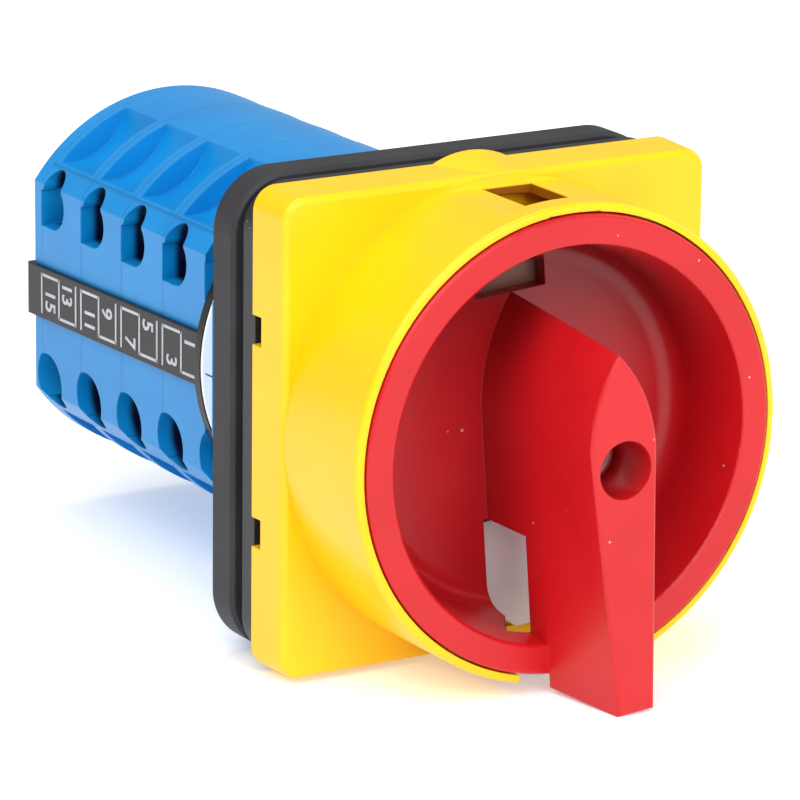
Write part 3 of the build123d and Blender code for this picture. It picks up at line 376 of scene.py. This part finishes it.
# Decks: four blue mouldings, one behind the other on the tie bolts, closed in front and open behind. Each
# has four terminal holes in its flats and hollows between ribs in its corners; fine joints part them.
first_deck = 21.1
deck_pitch = 11.8


def darker_holes_and_joints(place, colour):
    """Paint shade into the terminal holes' depths and draw a fine line at every joint between decks."""
    y = along(place, 1)
    share = ((y - first_deck * MM) * (1 / (deck_pitch * MM))).single("FRACT")
    near = 0.5 - abs(share - 0.5)
    joint = (1 - near.over(0.003, 0.011)) * 0.4
    return joint.mix(darker_holes(place, colour), rgb(0, 66, 132))


# Painted shade in the holes' depths, and real dark lines at the joints.
deck_shade = {"shade": darker_holes_and_joints}
deck_blue = moulded("deck_plastic", blue_main, blue_pale, 0.36, 2400.0, 0.00001, **deck_shade)
finish_nodes(deck_blue, "deck_1", "deck_2", "deck_3", "deck_4")

# Cams: four acetal cams in a row on the square shaft, one in each deck. Their edges push the plungers
# outwards.
finish_nodes(acetal, "cam_1", "cam_2", "cam_3", "cam_4")

# Plungers: eight acetal slides, one above and one below each cam. They run in guides in the decks.
finish_nodes(acetal, *[f"plunger_{number}" for number in range(1, 9)])

# Bridges: eight stamped brass bars with a contact button near each end. Each lies between the cheeks of its
# plunger.
brass = plated("contact_brass", rgb(225, 190, 110), 0.28, (0.2, 1, 1))
finish_nodes(brass, *[f"bridge_{number}" for number in range(1, 9)])

# Contact springs: compression springs of drawn steel wire. They stand on the bridges and press them home.
finish_nodes(wire, "contact_springs_upper", "contact_springs_lower")

# Fixed contacts: four stamped brass strips in slots in each deck, bent into a terminal block at one end.
finish_nodes(brass, *[f"fixed_contacts_{number}" for number in range(1, 5)])

# Terminal clamps: sixteen round brass washers between the screws' heads and the terminal blocks.
finish_nodes(brass, "terminal_clamps")

# Terminal screws: sixteen zinc-plated screws with cross recesses. They thread into the terminal blocks at
# the bottom of the holes.
finish_nodes(steel, "terminal_screws")

# Rear cover: the blue plate that closes the last deck. The shaft ends in a blind hole in its inner face, and
# the tie bolts' heads sit in its outer face.
cover_blue = moulded("cover_plastic", blue_main, blue_pale, 0.36, 2400.0, 0.00001)
finish_nodes(cover_blue, "rear_cover")

# Tie bolts: two long zinc-plated screws through every deck. Their heads sit in the rear cover.
finish_nodes(steel, "tie_bolts")


# Labels: dark plastic film on both side flats, folded round behind the rear cover. Pale grey figures number
# the terminals, with a box round each cell.
def label_place(side):
    """Give the place on one label of a layout whose words read downwards."""

    def place(down, forward, rise):
        y = side * forward
        middle = 0.6 - 1.2 * (y - 21.3) / 50.4
        return Vector((side * (22.3 + rise), y, middle - down))

    return place


film = moulded("label_film", rgb(32, 32, 35), rgb(39, 39, 42), 0.4, 3400.0, 0.000006, shine=0.30)
finish_nodes(film, "label_left", "label_right")
pale_ink = moulded("pale_ink", rgb(184, 186, 190), rgb(200, 202, 206), 0.5, 4000.0, 0.000002)
line = 0.42
box_width = 5.4
for side, word in ((-1, "left"), (1, "right")):
    words = []
    bars = []
    for number in range(1, 5):
        deck = first_deck + deck_pitch * (number - 1)
        first = 4 * number - 3 if side < 0 else 4 * number - 2
        shift = 1.7 if first < 9 else 1.0
        words.append((str(first), -shift, side * (deck + 2.75), 3.0))
        words.append((str(first + 2), shift if first + 2 < 10 else 1.0, side * (deck + 7.8), 3.0))
        foot = 1.1 if number == 1 else 0.2
        bars.append((0, side * (deck + 10.4), box_width + line, line, 0))
        bars.append((0, side * (deck + 5.2), box_width + line, line, 0))
        bars.append((-box_width / 2, side * (deck + 7.8), line, 5.2, 0))
        bars.append((box_width / 2, side * (deck + (5.2 + foot) / 2), line, 5.2 - foot, 0))
        if number > 1:
            bars.append((0, side * (deck + 0.2), box_width + line, line, 0))
    printed(f"label_print_{word}", "housing", pale_ink, label_place(side), words, bars)


# Front plate: glossy yellow plastic, a hollow square that snaps over the base frame's tongues. Its round
# collar shrouds the handle, and the window on top shows the indicator ring.
def darker_window(place, colour):
    """Paint brown shade on the walls of the window in the collar."""
    x = along(place, 0)
    y = along(place, 1)
    z = along(place, 2)
    inside = (1 - abs(x).over(3.78 * MM, 3.9 * MM)) * (1 - y.over(-19.2 * MM, -19.0 * MM))
    inside = inside * z.over(28.0 * MM, 29.0 * MM) * (1 - z.over(30.2 * MM, 30.35 * MM))
    return inside.mix(colour, rgb(150, 88, 10))


yellow_main = rgb(242, 190, 0)
yellow_pale = rgb(248, 197, 4)
# The window's walls get painted brown shade.
yellow = moulded("yellow_plastic", yellow_main, yellow_pale, 0.34, 2600.0, 0.000006, shade=darker_window)
finish_nodes(yellow, "front_plate")


# Indicator ring: a white moulded ring on the cup of the handle, so that it turns with it. Black figures, 0
# and I, stand a quarter turn apart and pass under the window.
ring_radius = 28.95
rest_angle = math.radians(4.5)


def ring_place(quarter):
    """Give the place on the ring of a layout that is read from outside, some quarter turns on."""

    def place(right, up, rise):
        angle = right / ring_radius - quarter * math.pi / 2 - rest_angle
        reach = ring_radius + rise
        return Vector((reach * math.sin(angle), -29.8 + up, reach * math.cos(angle)))

    return place


white = moulded("white_plastic", rgb(226, 226, 229), rgb(236, 236, 238), 0.42, 2600.0, 0.000006)
finish_nodes(white, "indicator_ring")
printed("figure_off", "rotor", black_ink, ring_place(0), [("0", 0, 0, 1.9)], [])
printed("figure_on", "rotor", black_ink, ring_place(1), [("I", 0, 0, 1.9)], [])


# Lock slide: a white moulded slide behind the cup's floor, seen through its openings. It slides on the hub
# and drops into the collar's gap when a padlock holds it.
def shaded_white(place, colour):
    """Shade the upper end of the padlock slide, which lies deep behind the cup."""
    z = along(place, 2)
    return (z.over(12.0 * MM, 17.0 * MM) * (1 - z.over(26.0 * MM, 27.0 * MM))).mix(colour, rgb(112, 70, 58))


slide_main = rgb(228, 226, 228)
slide_pale = rgb(236, 234, 236)
slide_white = moulded("slide_plastic", slide_main, slide_pale, 0.42, 2600.0, 0.000006, shade=shaded_white)
finish_nodes(slide_white, "lock_slide")

# Lock spring: a light spring of drawn steel wire between the hub and the slide. It pushes the slide down.
finish_nodes(wire, "lock_spring")


# Handle: glossy red plastic in one piece, cup, grip and hub. It plugs into the base frame's tube and sits on
# the square shaft; moulding dust shows on it.
def darker_cup(place, colour):
    """Paint shade on the red inside the cup, deepest at its top."""
    x = along(place, 0)
    y = along(place, 1)
    z = along(place, 2)
    radius = (x * x + z * z).single("SQRT")
    depth = y.over(-35.7 * MM, -25.0 * MM) * (1 - radius.over(26.25 * MM, 26.5 * MM))
    share = depth * (0.35 + z.over(0.0, 23.0 * MM) * 0.5)
    return share.mix(colour, rgb(104, 0, 6))


red_main = rgb(188, 17, 25)
red_pale = rgb(196, 23, 30)
# Real dust specks, and painted shade inside the cup.
red_look = {"dust": 0.35, "shade": darker_cup}
red = moulded("red_plastic", red_main, red_pale, 0.33, 2600.0, 0.000006, **red_look)
finish_nodes(red, "handle")

# Shaft: bright drawn steel, 6 mm square, through the latch and every cam. It is tapped in front for the
# handle's screw.
finish_nodes(steel, "shaft")

# Handle washer: a zinc-plated washer in the well of the grip, between the screw's head and the plastic.
finish_nodes(steel, "handle_washer")

# Handle screw: a zinc-plated screw with a cross recess at the bottom of the well. It holds the handle on
# the shaft.
bright = plated("bright_steel", rgb(240, 240, 242), 0.34, (1, 1, 1))
finish_nodes(bright, "handle_screw")
